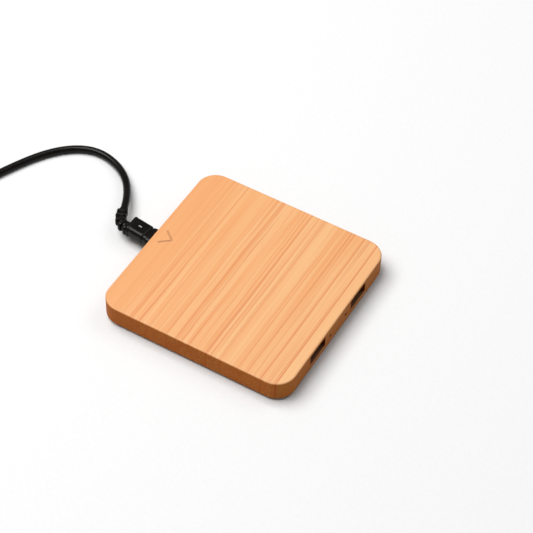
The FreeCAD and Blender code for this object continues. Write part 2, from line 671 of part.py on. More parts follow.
# --- cord ---------------------------------------------------------------------------------------------
def sweep_round(path, start, direction, radius):
    """A round solid along a wire of runs and tangent arcs."""
    section = Part.Wire(Part.Circle(start, direction, radius).toShape())
    return path.makePipeShell([section], True, True)


def cord_in_route():
    """Route points of the cord from the strain relief to the coil."""
    tail, heading = relief_place(relief_length())
    second = tail + unit(heading) * CORD_START + Vector(0, 0, -CORD_START_DROP)
    return [tail, second] + [Vector(*point) for point in CORD_IN_POINTS] + [coil_point(COIL_ENTRY, 0)]


def coil_point(angle, level):
    """The middle of the coil's outermost turn at an angle, on the given layer."""
    radius = COIL_OUT_R - CORD_R
    turn = math.radians(angle)
    return Vector(COIL_AT[0] + radius * math.cos(turn), COIL_AT[1] + radius * math.sin(turn),
                  CORD_Z + level * CORD_D)


def cord_out_route():
    """Route points of the cord from the coil to the USB-A plug."""
    leave = coil_point(COIL_EXIT, COIL_LAYERS - 1)
    return [leave] + [Vector(*point) for point in CORD_OUT_POINTS] + [Vector(*USB_AT, USB_Z)]


def rounded_path(points):
    """A wire of straight runs joined by tangent arcs, each as large as its runs allow, and the radii."""
    edges = []
    radii = []
    last = points[0]
    for before, corner, after in zip(points, points[1:], points[2:]):
        back = before - corner
        ahead = after - corner
        cut = 0.45 * min(back.Length, ahead.Length)
        half_turn = (math.pi - back.getAngle(ahead)) / 2
        radii.append(cut / math.tan(half_turn))
        enter = corner + back.normalize() * cut
        leave = corner + ahead.normalize() * cut
        reach = radii[-1] / math.cos(half_turn) - radii[-1]
        middle = corner + (back + ahead).normalize() * reach
        edges.append(Part.LineSegment(last, enter).toShape())
        edges.append(Part.Arc(enter, middle, leave).toShape())
        last = leave
    edges.append(Part.LineSegment(last, points[-1]).toShape())
    return Part.Wire(edges), radii


def cord_tube(name, points):
    """The plain round tube of one stretch of cord, with a check of its bends and volume."""
    path, radii = rounded_path(points)
    tube = sweep_round(path, points[0], points[1] - points[0], CORD_R)
    print(name, "route", [tuple(round(c, 2) for c in point) for point in points])
    section = math.pi * CORD_R ** 2
    print(name, "radii", [round(r, 1) for r in radii], "length", round(path.Length, 1),
          "volume / (section x length)", round(tube.Volume / (section * path.Length), 4))
    return tube


def make_cord_coil():
    """The outer shape of the tied coil of spare cord."""
    centre = Vector(COIL_AT[0], COIL_AT[1], 0)
    return Part.makeCylinder(COIL_OUT_R, COIL_H, centre).cut(Part.makeCylinder(COIL_IN_R, COIL_H, centre))


def make_tie():
    """The strap that holds the coil together, a closed loop round all its turns."""
    outer = slab(COIL_IN_R - TIE_T, COIL_OUT_R + TIE_T, -TIE_WIDTH / 2, TIE_WIDTH / 2,
                 0, COIL_H + 2 * TIE_T)
    outer = outer.makeFillet(TIE_CORNER, edges_along(outer, Vector(0, 1, 0)))
    inner = slab(COIL_IN_R, COIL_OUT_R, -TIE_WIDTH, TIE_WIDTH, TIE_T, COIL_H + TIE_T)
    inner = inner.makeFillet(TIE_CORNER - TIE_T, edges_along(inner, Vector(0, 1, 0)))
    tie = outer.cut(inner)
    tie.rotate(Vector(0, 0, 0), Vector(0, 0, 1), TIE_ANGLE)
    tie.translate(Vector(COIL_AT[0], COIL_AT[1], 0))
    return tie


# --- USB-A plug -----------------------------------------------------------------------------------------
def place_usb(shape):
    """Moves a shape built along +X from the plug's tail to where the plug lies."""
    shape.rotate(Vector(0, 0, 0), Vector(0, 0, 1), USB_YAW)
    shape.translate(Vector(USB_AT[0], USB_AT[1], 0))
    return shape


def make_usb_plug():
    """The pieces of the USB-A plug: relief, body, shell, insert and contacts."""
    body_x0 = USB_RELIEF_LENGTH
    body_x1 = body_x0 + USB_GRIP_SIZE[0]
    shell_x1 = body_x1 + USB_SHELL_SIZE[0]
    relief_parts = [Part.makeCone(USB_RELIEF_TAIL_R, USB_RELIEF_FRONT_R, body_x0, Vector(0, 0, USB_Z),
                                  Vector(1, 0, 0))]
    for k in range(USB_RINGS):
        x0 = USB_RING_FIRST + USB_RING_PITCH * k
        x1 = x0 + USB_RING_T
        ring = rod(USB_RING_R + USB_RING_STEP * k, Vector(x0, 0, USB_Z), Vector(x1, 0, USB_Z))
        relief_parts.append(ring.makeFillet(USB_RING_ROUND, edges_at(ring, "x", x0) + edges_at(ring, "x", x1)))
    body = bar_along_x(body_x0, body_x1, USB_GRIP_SIZE[1], USB_GRIP_SIZE[2], USB_Z, USB_GRIP_CORNER)
    body = body.makeFillet(USB_GRIP_ROUND, edges_at(body, "x", body_x0) + edges_at(body, "x", body_x1))
    width = USB_SHELL_SIZE[1]
    height = USB_SHELL_SIZE[2]
    shell = bar_along_x(body_x1, shell_x1, width, height, USB_Z, USB_BEND_R)
    shell = shell.cut(bar_along_x(body_x1 - PAST, shell_x1 + PAST, width - 2 * USB_SHEET,
                                  height - 2 * USB_SHEET, USB_Z, USB_BEND_R / 2))
    holes = [block((*USB_HOLE, height), (body_x1 + USB_HOLE_AT[0], side * USB_HOLE_AT[1]), USB_Z)
             for side in (-1, 1)]
    floor_z = USB_Z - height / 2 + USB_SHEET + USB_SLACK
    half = width / 2 - USB_SHEET - USB_SLACK
    top = floor_z + USB_TONGUE_T
    insert = slab(body_x1, shell_x1 - USB_TONGUE_SETBACK, -half, half, floor_z, top)
    contacts = group([slab(body_x1 + USB_CONTACT_ENDS[0], shell_x1 - USB_CONTACT_ENDS[1],
                           y - CONTACT_W / 2, y + CONTACT_W / 2, top - CONTACT_T, top) for y in CONTACT_Y])
    pieces = {
        "usb_plug_relief": fuse(relief_parts),
        "usb_plug_body": body,
        "usb_plug_shell": shell.cut(holes),
        "usb_plug_insert": insert.cut(contacts),
        "usb_plug_contacts": contacts,
    }
    return {name: place_usb(shape) for name, shape in pieces.items()}


# --- transmitter coil --------------------------------------------------------------------------------------
def make_litz():
    """The flat spiral of litz wire: half circles whose radius grows by half a pitch each."""
    def end_of(k):
        return (-1) ** (k + 1) * (LITZ_INNER_R + k * LITZ_PITCH / 2)

    arcs = []
    for k in range(LITZ_HALF_TURNS):
        y0 = end_of(k)
        y1 = end_of(k + 1)
        side = 1 if y1 > y0 else -1
        bulge = Vector(side * abs(y1 - y0) / 2, (y0 + y1) / 2, LITZ_Z)
        arcs.append(Part.Arc(Vector(0, y0, LITZ_Z), bulge, Vector(0, y1, LITZ_Z)).toShape())
    return sweep_round(Part.Wire(arcs), Vector(0, end_of(0), LITZ_Z), Vector(1, 0, 0), LITZ_R)


def make_litz_leads():
    """The coil's two ends: the inner one runs out through the ferrite's slot, the outer one over it."""
    slot_z = FERRITE_Z1 - LITZ_R - LEAD_GAP
    outer_y = LITZ_INNER_R + LITZ_HALF_TURNS * LITZ_PITCH / 2 + LITZ_R + LEAD_GAP
    leads = []
    for start_y, drop_y, z in ((-LITZ_INNER_R, -LEAD_DROP_Y, slot_z), (outer_y, LEAD_DROP_Y, LITZ_Z)):
        points = [Vector(0, start_y, z), Vector(0, drop_y, z), Vector(0, drop_y, BOARD_Z1)]
        path, _ = rounded_path(points)
        leads.append(sweep_round(path, points[0], points[1] - points[0], LITZ_R))
    return group(leads)


def make_ferrite():
    """The ferrite shield under the coil, slotted for the inner lead."""
    plate = rounded_slab(FERRITE_SIDE, FERRITE_SIDE, FERRITE_Z0, FERRITE_Z1, FERRITE_CORNER)
    half = FERRITE_SLOT_W / 2
    slot = slab(-half, half, -FERRITE_SIDE, -LITZ_INNER_R + half, FERRITE_Z0, FERRITE_Z1)
    return plate.cut(slot)


# --- build ------------------------------------------------------------------------------------------------
def main():
    os.makedirs(OUT, exist_ok=True)
    save("bamboo_case", make_case())
    save("bottom_cover", make_cover())
    for (x, y), corner in zip(all_four(FOOT_AT), ("front_inlet", "front_port", "rear_inlet", "rear_port")):
        save("foot_" + corner, make_foot(x, y))
    save("cover_screws", group([countersunk_screw(x, y, CASE_Z0 + SCREW_SUNK)
                                for x, y in all_four(COVER_SCREW_AT)]))
    save("circuit_board", make_board())
    save("board_screws", group([pan_screw(x, y, BOARD_Z1) for x, y in BOARD_SCREW_AT]))

    for side, where in ((-1, "front"), (1, "rear")):
        save("port_shell_" + where, port_shell(side * PORT_Y))
        save("port_tongue_" + where, port_tongue(side * PORT_Y))
        save("port_contacts_" + where, port_contacts(side * PORT_Y))
        save("led_" + where, led(side * LED_Y))
    save("led_leads", led_leads())
    for name, shape in zip(("inlet_shell", "inlet_tongue", "inlet_contacts"), make_inlet()):
        save(name, shape)

    save("coil_tape", Part.makeCylinder(COIL_TAPE_R, COIL_TAPE_T, Vector(0, 0, CEILING_Z - COIL_TAPE_T)))
    save("transmit_coil", make_litz())
    save("coil_leads", make_litz_leads())
    save("ferrite_plate", make_ferrite())
    foam = (FOAM_SIDE, FOAM_SIDE, FERRITE_Z0 - BOARD_Z1)
    save("foam_blocks", group([block(foam, at, BOARD_Z1) for at in all_four((FOAM_AT, FOAM_AT))]))

    save("charge_controller", block(*CHARGE_CONTROLLER, BOARD_Z1))
    save("bridge_driver", block(*BRIDGE_DRIVER, BOARD_Z1))
    save("port_regulator", block(*PORT_REGULATOR, BOARD_Z1))
    save("power_inductor", make_inductor())
    save("resonant_capacitors", chips_in_rows(RESONANT_CAP, *RESONANT_CAP_AT))
    save("small_capacitors", chips_in_rows(SMALL_CAP, SMALL_CAP_COLUMNS, CHIP_ROWS))
    save("resistors", chips_in_rows(RESISTOR, RESISTOR_COLUMNS, CHIP_ROWS))

    for name, shape in zip(("plug_shell", "plug_insert", "plug_contacts"), make_plug_front()):
        save(name, shape)
    save("plug_body", make_plug_body())
    save("strain_relief", make_relief())
    save("cord_to_coil", cord_tube("cord_to_coil", cord_in_route()))
    save("cord_coil", make_cord_coil())
    save("cord_to_plug", cord_tube("cord_to_plug", cord_out_route()))
    save("coil_tie", make_tie())
    for name, shape in make_usb_plug().items():
        save(name, shape)


main()
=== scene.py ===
import json
import math

import bmesh
import bpy
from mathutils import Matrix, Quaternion, Vector


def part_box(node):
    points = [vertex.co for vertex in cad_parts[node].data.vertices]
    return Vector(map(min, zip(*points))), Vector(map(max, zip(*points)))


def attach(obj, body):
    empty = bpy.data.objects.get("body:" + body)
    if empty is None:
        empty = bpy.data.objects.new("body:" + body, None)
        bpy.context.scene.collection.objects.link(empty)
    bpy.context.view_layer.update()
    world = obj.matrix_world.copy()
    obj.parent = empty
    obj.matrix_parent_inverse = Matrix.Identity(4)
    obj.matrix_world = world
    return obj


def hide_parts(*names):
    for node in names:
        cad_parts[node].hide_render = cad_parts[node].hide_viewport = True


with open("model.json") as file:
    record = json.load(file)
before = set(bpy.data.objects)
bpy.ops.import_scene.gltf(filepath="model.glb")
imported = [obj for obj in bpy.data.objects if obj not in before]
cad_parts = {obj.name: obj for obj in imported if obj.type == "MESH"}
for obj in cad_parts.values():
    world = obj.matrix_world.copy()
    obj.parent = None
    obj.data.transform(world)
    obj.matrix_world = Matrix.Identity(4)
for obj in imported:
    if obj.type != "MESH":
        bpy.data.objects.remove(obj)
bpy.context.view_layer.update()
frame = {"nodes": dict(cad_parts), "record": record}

MM = 0.001
CASE_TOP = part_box("bamboo_case")[1].z
CASE_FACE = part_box("bamboo_case")[1].x


# --- shader helpers -------------------------------------------------------------------------------
class Graph:
    """A material's node tree, built by short calls that return sockets."""

    def __init__(self, name):
        self.material = bpy.data.materials.new(name)
        self.material.use_nodes = True
        self.nodes = self.material.node_tree.nodes
        self.links = self.material.node_tree.links
        self.nodes.clear()
        self.out = self.nodes.new("ShaderNodeOutputMaterial")
        self.shader = self.nodes.new("ShaderNodeBsdfPrincipled")
        self.links.new(self.shader.outputs[0], self.out.inputs["Surface"])

    def put(self, socket, value):
        """Sets a socket to a value, or links another socket to it."""
        if isinstance(value, bpy.types.NodeSocket):
            self.links.new(value, socket)
        else:
            socket.default_value = value

    def set(self, **values):
        """Sets the main shader's inputs, by name with _ for a space."""
        for name, value in values.items():
            self.put(self.shader.inputs[name.replace("_", " ")], value)

    def place(self):
        """The object's own coordinates, in millimetres."""
        coords = self.nodes.new("ShaderNodeTexCoord").outputs["Object"]
        return self.stretch(coords, (1 / MM, 1 / MM, 1 / MM))

    def stretch(self, coords, scale):
        node = self.nodes.new("ShaderNodeVectorMath")
        node.operation = "MULTIPLY"
        self.put(node.inputs[0], coords)
        node.inputs[1].default_value = scale
        return node.outputs[0]

    def split(self, coords):
        node = self.nodes.new("ShaderNodeSeparateXYZ")
        self.put(node.inputs[0], coords)
        return node.outputs[0], node.outputs[1], node.outputs[2]

    def join(self, x, y, z):
        node = self.nodes.new("ShaderNodeCombineXYZ")
        for socket, value in zip(node.inputs, (x, y, z)):
            self.put(socket, value)
        return node.outputs[0]

    def normal(self):
        """The surface normal in world axes, as three sockets."""
        return self.split(self.nodes.new("ShaderNodeNewGeometry").outputs["Normal"])

    def math(self, operation, a, b=0.0, c=0.0):
        node = self.nodes.new("ShaderNodeMath")
        node.operation = operation
        for socket, value in zip(node.inputs, (a, b, c)):
            self.put(socket, value)
        return node.outputs[0]

    def smooth(self, value, low, high):
        """0 below low, 1 above high, smooth between."""
        node = self.nodes.new("ShaderNodeMapRange")
        node.interpolation_type = "SMOOTHSTEP"
        self.put(node.inputs["Value"], value)
        node.inputs["From Min"].default_value = low
        node.inputs["From Max"].default_value = high
        return node.outputs["Result"]

    def noise(self, coords, scale=1.0, detail=2.0, rough=0.5, seed=None):
        node = self.nodes.new("ShaderNodeTexNoise")
        self.put(node.inputs["Vector"], coords)
        if seed is not None:
            node.noise_dimensions = "4D"
            self.put(node.inputs["W"], seed)
        node.inputs["Scale"].default_value = scale
        node.inputs["Detail"].default_value = detail
        node.inputs["Roughness"].default_value = rough
        return node.outputs[0]

    def chance(self, value):
        """A fixed random number from 0 to 1 for each value."""
        node = self.nodes.new("ShaderNodeTexWhiteNoise")
        node.noise_dimensions = "1D"
        self.put(node.inputs["W"], value)
        return node.outputs["Value"]

    def cells(self, coords, scale):
        """Distance to the nearest of scattered points."""
        node = self.nodes.new("ShaderNodeTexVoronoi")
        self.put(node.inputs["Vector"], coords)
        node.inputs["Scale"].default_value = scale
        return node.outputs["Distance"]

    def mix(self, share, a, b, blend="MIX"):
        node = self.nodes.new("ShaderNodeMix")
        node.data_type = "RGBA"
        node.blend_type = blend
        self.put(node.inputs["Factor"], share)
        self.put(node.inputs["A"], a if isinstance(a, bpy.types.NodeSocket) else (*a, 1))
        self.put(node.inputs["B"], b if isinstance(b, bpy.types.NodeSocket) else (*b, 1))
        return node.outputs["Result"]

    def bump(self, height, strength, distance):
        node = self.nodes.new("ShaderNodeBump")
        node.inputs["Strength"].default_value = strength
        node.inputs["Distance"].default_value = distance
        self.put(node.inputs["Height"], height)
        return node.outputs[0]


def shade(value):
    """Linear colour from an sRGB one, each channel 0 to 255."""
    return tuple((c / 255 / 12.92) if c <= 10 else ((c / 255 + 0.055) / 1.055) ** 2.4 for c in value)


# --- bamboo's sizes (mm) and colours (linear) ------------------------------------------------------
WOOD_TOP = CASE_TOP / MM
WOOD_FACE = CASE_FACE / MM    # the side with the sockets
OPENINGS_HALF_Y = 26.0
OPENINGS_LOW = 3.9
OPENINGS_DEEP = 5.0
LAMP_Y = 6.8
LAMP_Z = 6.0
# painted shade: the wood round each lamp hole is darkened out to this radius
LAMP_SHADE_REACH = 0.95              # the wood is darkened round the drilled holes
STRIP_WIDTH = 6.6
STRIP_SHIFT = 5.19
LINE_X = 41.0                 # the most distinct glue line
WOOD_PALE = (0.580, 0.305, 0.125)
WOOD_LIGHT = (0.600, 0.350, 0.165)
WOOD_WARM = (0.565, 0.252, 0.090)
WOOD_STREAK = (0.475, 0.160, 0.050)
WOOD_GLUE = (0.460, 0.145, 0.042)
WOOD_PORE = (0.060, 0.018, 0.004)
# painted shade: the side faces' colour is multiplied by this, standing in for the weaker light on them
SIDE_PAINTED_SHADE = (0.67, 0.40, 0.145)
# painted shade inside the socket openings and round the lamp holes
RECESS_PAINTED_SHADE = (0.24, 0.15, 0.09)
MARK_DARK = (0.330, 0.130, 0.050)
MARK_LIGHT = (0.440, 0.200, 0.085)


# --- painted highlight, a pale spot on the plug's nub (mm) -----------------------------------------
NUB_AT = (-54.24, 0.97, 9.5)
NUB_YAW = -7.0
NUB_PAINTED_HIGHLIGHT = (0.24, 0.235, 0.23)


# --- materials ------------------------------------------------------------------------------------
def bamboo():
    """Bamboo strips along Y: fibres, glue lines, pores on the sides, painted shade on the sides, in
    the openings and round the lamp holes, burnt mark.
    """
    g = Graph("bamboo")
    place = g.place()
    x, y, z = g.split(place)
    _, ny, nz = g.normal()
    drift = g.noise(g.stretch(place, (0.02, 0.012, 0.02)))
    wander = g.math("MULTIPLY", g.math("SUBTRACT", drift, 0.5), 0.5)
    across = g.math("DIVIDE", g.math("ADD", x, g.math("ADD", wander, STRIP_SHIFT)), STRIP_WIDTH)
    strip = g.math("FLOOR", across)
    inside = g.math("FRACT", across)
    luck = g.chance(strip)
    seed = g.math("MULTIPLY", luck, 40.0)

    bend = g.noise(g.stretch(place, (0.10, 0.045, 0.10)), 1.0, 2.0, 0.5, 7.0)
    sway = g.math("SUBTRACT", bend, 0.5)
    grown = g.join(g.math("ADD", x, g.math("MULTIPLY", sway, 1.0)), y, z)
    broad = g.noise(g.stretch(grown, (0.30, 0.010, 0.20)), 1.0, 2.0, 0.5, seed)
    streak = g.noise(g.stretch(grown, (1.15, 0.007, 0.8)), 1.0, 3.0, 0.6, seed)
    fibre = g.noise(g.stretch(grown, (3.6, 0.05, 3.4)), 1.0, 3.0, 0.65, seed)
    fleck = g.noise(g.stretch(grown, (5.0, 0.6, 5.0)), 1.0, 2.0, 0.6, seed)
    pores = g.noise(g.stretch(place, (4.4, 0.5, 4.4)), 1.0, 1.5, 0.6, seed)

    colour = g.mix(g.smooth(broad, 0.38, 0.64), WOOD_WARM, WOOD_PALE)
    busy = g.math("MULTIPLY_ADD", g.chance(g.math("ADD", strip, 5.5)), 0.65, 0.35)
    beside = g.math("MULTIPLY", g.smooth(x, LINE_X - 9.0, LINE_X - 5.0),
                    g.smooth(x, LINE_X + 0.4, LINE_X))
    beyond = g.smooth(x, LINE_X, LINE_X + 0.4)
    calm = g.math("MULTIPLY_ADD", beyond, -0.55, 1.0)
    busy = g.math("MAXIMUM", g.math("MULTIPLY", busy, calm), beside)
    colour = g.mix(g.math("MULTIPLY", g.math("MULTIPLY", g.smooth(streak, 0.50, 0.63), 0.90), busy),
                   colour, WOOD_STREAK)
    colour = g.mix(g.math("MULTIPLY", g.math("MULTIPLY", g.smooth(streak, 0.46, 0.36), 0.75), busy),
                   colour, WOOD_LIGHT)
    colour = g.mix(g.math("MULTIPLY", g.smooth(fibre, 0.56, 0.76), 0.34), colour, WOOD_STREAK)
    colour = g.mix(g.math("MULTIPLY", g.smooth(fibre, 0.44, 0.26), 0.28), colour, WOOD_LIGHT)
    colour = g.mix(g.math("MULTIPLY", g.smooth(fleck, 0.60, 0.74), 0.30), colour, WOOD_STREAK)
    colour = g.mix(g.math("MULTIPLY", g.smooth(x, -24.0, -38.0), 0.85), colour, WOOD_WARM)
    colour = g.mix(g.math("MULTIPLY", beyond, 0.45), colour, WOOD_LIGHT)
    tint = g.math("SUBTRACT", luck, 0.5)
    colour = g.mix(g.math("MULTIPLY", g.math("MAXIMUM", tint, 0.0), 0.5), colour, WOOD_LIGHT)
    colour = g.mix(g.math("MULTIPLY", g.math("MAXIMUM", g.math("MULTIPLY", tint, -1.0), 0.0), 0.55),
                   colour, WOOD_WARM)

    edge = g.math("MINIMUM", inside, g.math("SUBTRACT", 1.0, inside))
    fade = g.noise(g.stretch(place, (0.2, 0.02, 0.2)), 1.0, 2.0, 0.5, 3.0)
    bold = g.math("POWER", g.chance(g.math("ROUND", across)), 3.0)
    from_line = g.math("ABSOLUTE", g.math("SUBTRACT", x, LINE_X))
    bold = g.math("MAXIMUM", bold, g.smooth(from_line, 2.0, 1.0))
    bold = g.math("MULTIPLY", g.math("MULTIPLY_ADD", bold, 0.75, 0.08),
                  g.math("MULTIPLY_ADD", fade, 0.8, 0.6))
    glue = g.math("MULTIPLY", g.smooth(edge, 0.080, 0.015), bold)
    colour = g.mix(glue, colour, WOOD_GLUE)

    cut_end = g.smooth(g.math("ABSOLUTE", ny), 0.35, 0.75)
    dots = g.smooth(pores, 0.56, 0.66)
    side = g.smooth(g.math("ABSOLUTE", nz), 0.75, 0.30)
    # painted shade: the side faces are darkened, standing in for the weaker light on them
    colour = g.mix(side, colour, SIDE_PAINTED_SHADE, "MULTIPLY")
    dotted = g.math("MULTIPLY", g.math("MULTIPLY", dots, side),
                    g.math("MULTIPLY_ADD", cut_end, 0.25, 0.30))
    colour = g.mix(dotted, colour, WOOD_PORE)

    # painted shade: the wood inside the socket openings is darkened, standing in for the shade there
    opening_painted_shade = g.math("MULTIPLY", g.smooth(x, WOOD_FACE - 0.05, WOOD_FACE - 0.20),
                 g.smooth(g.math("ABSOLUTE", y), OPENINGS_HALF_Y + 0.5, OPENINGS_HALF_Y))
    opening_painted_shade = g.math("MULTIPLY", opening_painted_shade, g.smooth(z, WOOD_TOP - 0.9, WOOD_TOP - 1.1))
    opening_painted_shade = g.math("MULTIPLY", opening_painted_shade, g.smooth(z, OPENINGS_LOW, OPENINGS_LOW + 0.2))
    deepest = WOOD_FACE - OPENINGS_DEEP
    opening_painted_shade = g.math("MULTIPLY", opening_painted_shade, g.smooth(x, deepest - 1.0, deepest))
    # painted shade: a ring round each lamp hole is darkened
    from_y = g.math("SUBTRACT", g.math("ABSOLUTE", y), LAMP_Y)
    from_z = g.math("SUBTRACT", z, LAMP_Z)
    lamp = g.math("SQRT", g.math("ADD", g.math("MULTIPLY", from_y, from_y),
                                 g.math("MULTIPLY", from_z, from_z)))
    lamp_hole_shade = g.math("MULTIPLY", g.smooth(lamp, LAMP_SHADE_REACH, LAMP_SHADE_REACH - 0.3), g.smooth(x, 0.0, 1.0))
    colour = g.mix(lamp_hole_shade, colour, RECESS_PAINTED_SHADE, "MULTIPLY")
    colour = g.mix(opening_painted_shade, colour, RECESS_PAINTED_SHADE, "MULTIPLY")

    burnt = g.math("MULTIPLY", g.smooth(z, WOOD_TOP - 0.06, WOOD_TOP - 0.11),
                   g.smooth(nz, 0.90, 0.98))
    burnt = g.math("MULTIPLY", burnt, g.smooth(z, WOOD_TOP - 0.5, WOOD_TOP - 0.3))
    char = g.noise(g.stretch(place, (1.2, 0.5, 1.0)), 1.0, 3.0, 0.6)
    colour = g.mix(g.math("MULTIPLY", burnt, 0.85), colour, g.mix(char, MARK_DARK, MARK_LIGHT))

    wear = g.noise(g.stretch(place, (0.05, 0.03, 0.05)), 1.0, 4.0, 0.6)
    rough = g.math("MULTIPLY_ADD", wear, 0.16, 0.44)
    shine = g.math("MULTIPLY_ADD", side, -0.40, 0.45)
    rough = g.math("ADD", rough, g.math("MULTIPLY", g.smooth(fibre, 0.5, 0.8), 0.12))
    height = g.math("ADD", g.math("MULTIPLY", fibre, 0.6), g.math("MULTIPLY", streak, 0.4))
    height = g.math("SUBTRACT", height, g.math("MULTIPLY", glue, 0.5))
    height = g.math("SUBTRACT", height, dotted)
    g.set(Base_Color=colour, Roughness=rough, Specular_IOR_Level=shine,
          Normal=g.bump(height, 0.35, 0.00010))
    return g.material


def nub_painted_highlight(g, place):
    """Share of the painted highlight, a pale spot on top of the plug's nub."""
    x, y, z = g.split(place)
    yaw = math.radians(NUB_YAW)
    from_x = g.math("SUBTRACT", x, NUB_AT[0])
    from_y = g.math("SUBTRACT", y, NUB_AT[1])
    along = g.math("ADD", g.math("MULTIPLY", from_x, math.cos(yaw)),
                   g.math("MULTIPLY", from_y, math.sin(yaw)))
    aside = g.math("SUBTRACT", g.math("MULTIPLY", from_y, math.cos(yaw)),
                   g.math("MULTIPLY", from_x, math.sin(yaw)))
    mark = g.math("MULTIPLY", g.smooth(g.math("ABSOLUTE", along), 0.95, 0.75),
                  g.smooth(g.math("ABSOLUTE", aside), 0.36, 0.24))
    return g.math("MULTIPLY", mark, g.smooth(z, NUB_AT[2] - 0.20, NUB_AT[2] - 0.10))


def moulded(name, colour, rough, grain, depth, shine=0.5, mark=None):
    """Moulded plastic or rubber: fine spark-eroded grain, faint flow marks and uneven gloss, and an
    optional painted highlight given by mark.
    """
    g = Graph(name)
    place = g.place()
    fine = g.noise(place, grain, 3.0, 0.6)
    cloud = g.noise(place, 0.12, 3.0, 0.5)
    lighter = tuple(min(1.0, c * 1.5 + 0.001) for c in colour)
    base = g.mix(g.smooth(cloud, 0.35, 0.7), colour, lighter)
    # painted highlight: a pale spot mixed in where mark gives its share
    if mark is not None:
        base = g.mix(mark(g, place), base, NUB_PAINTED_HIGHLIGHT)
    g.set(
        Base_Color=base,
        Roughness=g.math("ADD", g.math("MULTIPLY_ADD", cloud, 0.14, rough - 0.07),
                         g.math("MULTIPLY", fine, 0.06)),
        Normal=g.bump(fine, 0.35, depth),
    )
    g.shader.inputs["Specular IOR Level"].default_value = shine
    return g.material


def metal(name, colour, rough, brushed):
    """Plated sheet metal with fine rolling marks along one axis and faint stains."""
    g = Graph(name)
    place = g.place()
    marks = g.noise(g.stretch(place, brushed), 1.0, 3.0, 0.6)
    stain = g.noise(place, 0.5, 3.0, 0.6)
    dull = tuple(c * 0.78 for c in colour)
    g.set(
        Base_Color=g.mix(g.smooth(stain, 0.4, 0.75), colour, dull),
        Roughness=g.math("ADD", g.math("MULTIPLY_ADD", marks, 0.16, rough - 0.08),
                         g.math("MULTIPLY", stain, 0.08)),
        Normal=g.bump(marks, 0.25, 0.00003),
    )
    g.shader.inputs["Metallic"].default_value = 1.0
    return g.material


def board_laminate():
    """Green solder mask over copper: traces show as a faint lighter pattern."""
    g = Graph("board_laminate")
    place = g.place()
    x, y, _ = g.split(place)
    field = g.cells(g.stretch(place, (1.0, 1.0, 0.0)), 0.22)
    lanes = g.math("SINE", g.math("MULTIPLY", g.math("ADD", x, g.math("MULTIPLY", field, 6.0)), 2.6))
    lanes_y = g.math("SINE", g.math("MULTIPLY", y, 2.2))
    trace = g.math("MULTIPLY", g.smooth(lanes, 0.55, 0.7), g.smooth(lanes_y, -0.4, 0.0))
    weave = g.noise(place, 3.0, 2.0, 0.5)
    colour = g.mix(trace, shade((10, 84, 44)), shade((26, 122, 66)))
    colour = g.mix(g.math("MULTIPLY", weave, 0.2), colour, shade((6, 60, 34)))
    g.set(Base_Color=colour, Roughness=g.math("MULTIPLY_ADD", weave, 0.15, 0.25),
          Normal=g.bump(g.math("ADD", trace, g.math("MULTIPLY", weave, 0.3)), 0.3, 0.00004))
    return g.material


def wound_copper():
    """Enamelled litz: fine twisted strands."""
    g = Graph("coil_copper")
    place = g.place()
    x, y, z = g.split(place)
    angle = g.math("ARCTAN2", y, x)
    twist = g.math("SINE", g.math("ADD", g.math("MULTIPLY", angle, 90.0),
                                  g.math("MULTIPLY", z, 14.0)))
    soft = g.noise(place, 0.8, 2.0, 0.5)
    colour = g.mix(g.smooth(twist, -0.6, 0.8), shade((120, 60, 30)), shade((206, 122, 66)))
    g.set(Base_Color=colour, Roughness=g.math("MULTIPLY_ADD", soft, 0.15, 0.28),
          Normal=g.bump(twist, 0.5, 0.00005))
    g.shader.inputs["Metallic"].default_value = 0.85
    return g.material


def clear_lens():
    """Smoke-tinted epoxy of the small lamps, dark while they are off."""
    g = Graph("led_lens")
    haze = g.noise(g.place(), 1.2, 2.0, 0.5)
    g.set(Base_Color=g.mix(haze, (0.006, 0.005, 0.005), (0.014, 0.012, 0.011)),
          Roughness=g.math("MULTIPLY_ADD", haze, 0.1, 0.20), Normal=g.bump(haze, 0.1, 0.00003))
    g.shader.inputs["Specular IOR Level"].default_value = 0.25
    g.shader.inputs["Transmission Weight"].default_value = 0.1
    g.shader.inputs["IOR"].default_value = 1.5
    return g.material


def foam():
    """Open-cell foam with a pitted skin."""
    g = Graph("foam")
    place = g.place()
    pits = g.cells(place, 1.6)
    g.set(Base_Color=g.mix(g.smooth(pits, 0.1, 0.5), (0.012, 0.012, 0.012), (0.07, 0.07, 0.07)),
          Roughness=g.math("MULTIPLY_ADD", pits, 0.1, 0.85), Normal=g.bump(pits, 0.8, 0.0003))
    return g.material


def woven_strap():
    """Hook-and-loop strap: a tight ribbed weave with a soft nap."""
    g = Graph("strap_fabric")
    place = g.place()
    x, y, z = g.split(place)
    ribs = g.math("SINE", g.math("MULTIPLY", z, 9.0))
    warp = g.math("SINE", g.math("MULTIPLY", g.math("ADD", x, g.math("MULTIPLY", y, 1.6)), 8.0))
    weave = g.math("MULTIPLY_ADD", g.math("MULTIPLY", ribs, warp), 0.5, 0.5)
    nap = g.noise(place, 5.0, 3.0, 0.7)
    colour = g.mix(weave, (0.010, 0.010, 0.011), (0.045, 0.045, 0.048))
    colour = g.mix(g.math("MULTIPLY", nap, 0.4), colour, (0.08, 0.08, 0.085))
    g.set(Base_Color=colour, Roughness=g.math("MULTIPLY_ADD", nap, 0.15, 0.80),
          Normal=g.bump(g.math("ADD", weave, g.math("MULTIPLY", nap, 0.6)), 0.6, 0.0002))
    g.shader.inputs["Sheen Weight"].default_value = 0.12
    return g.material


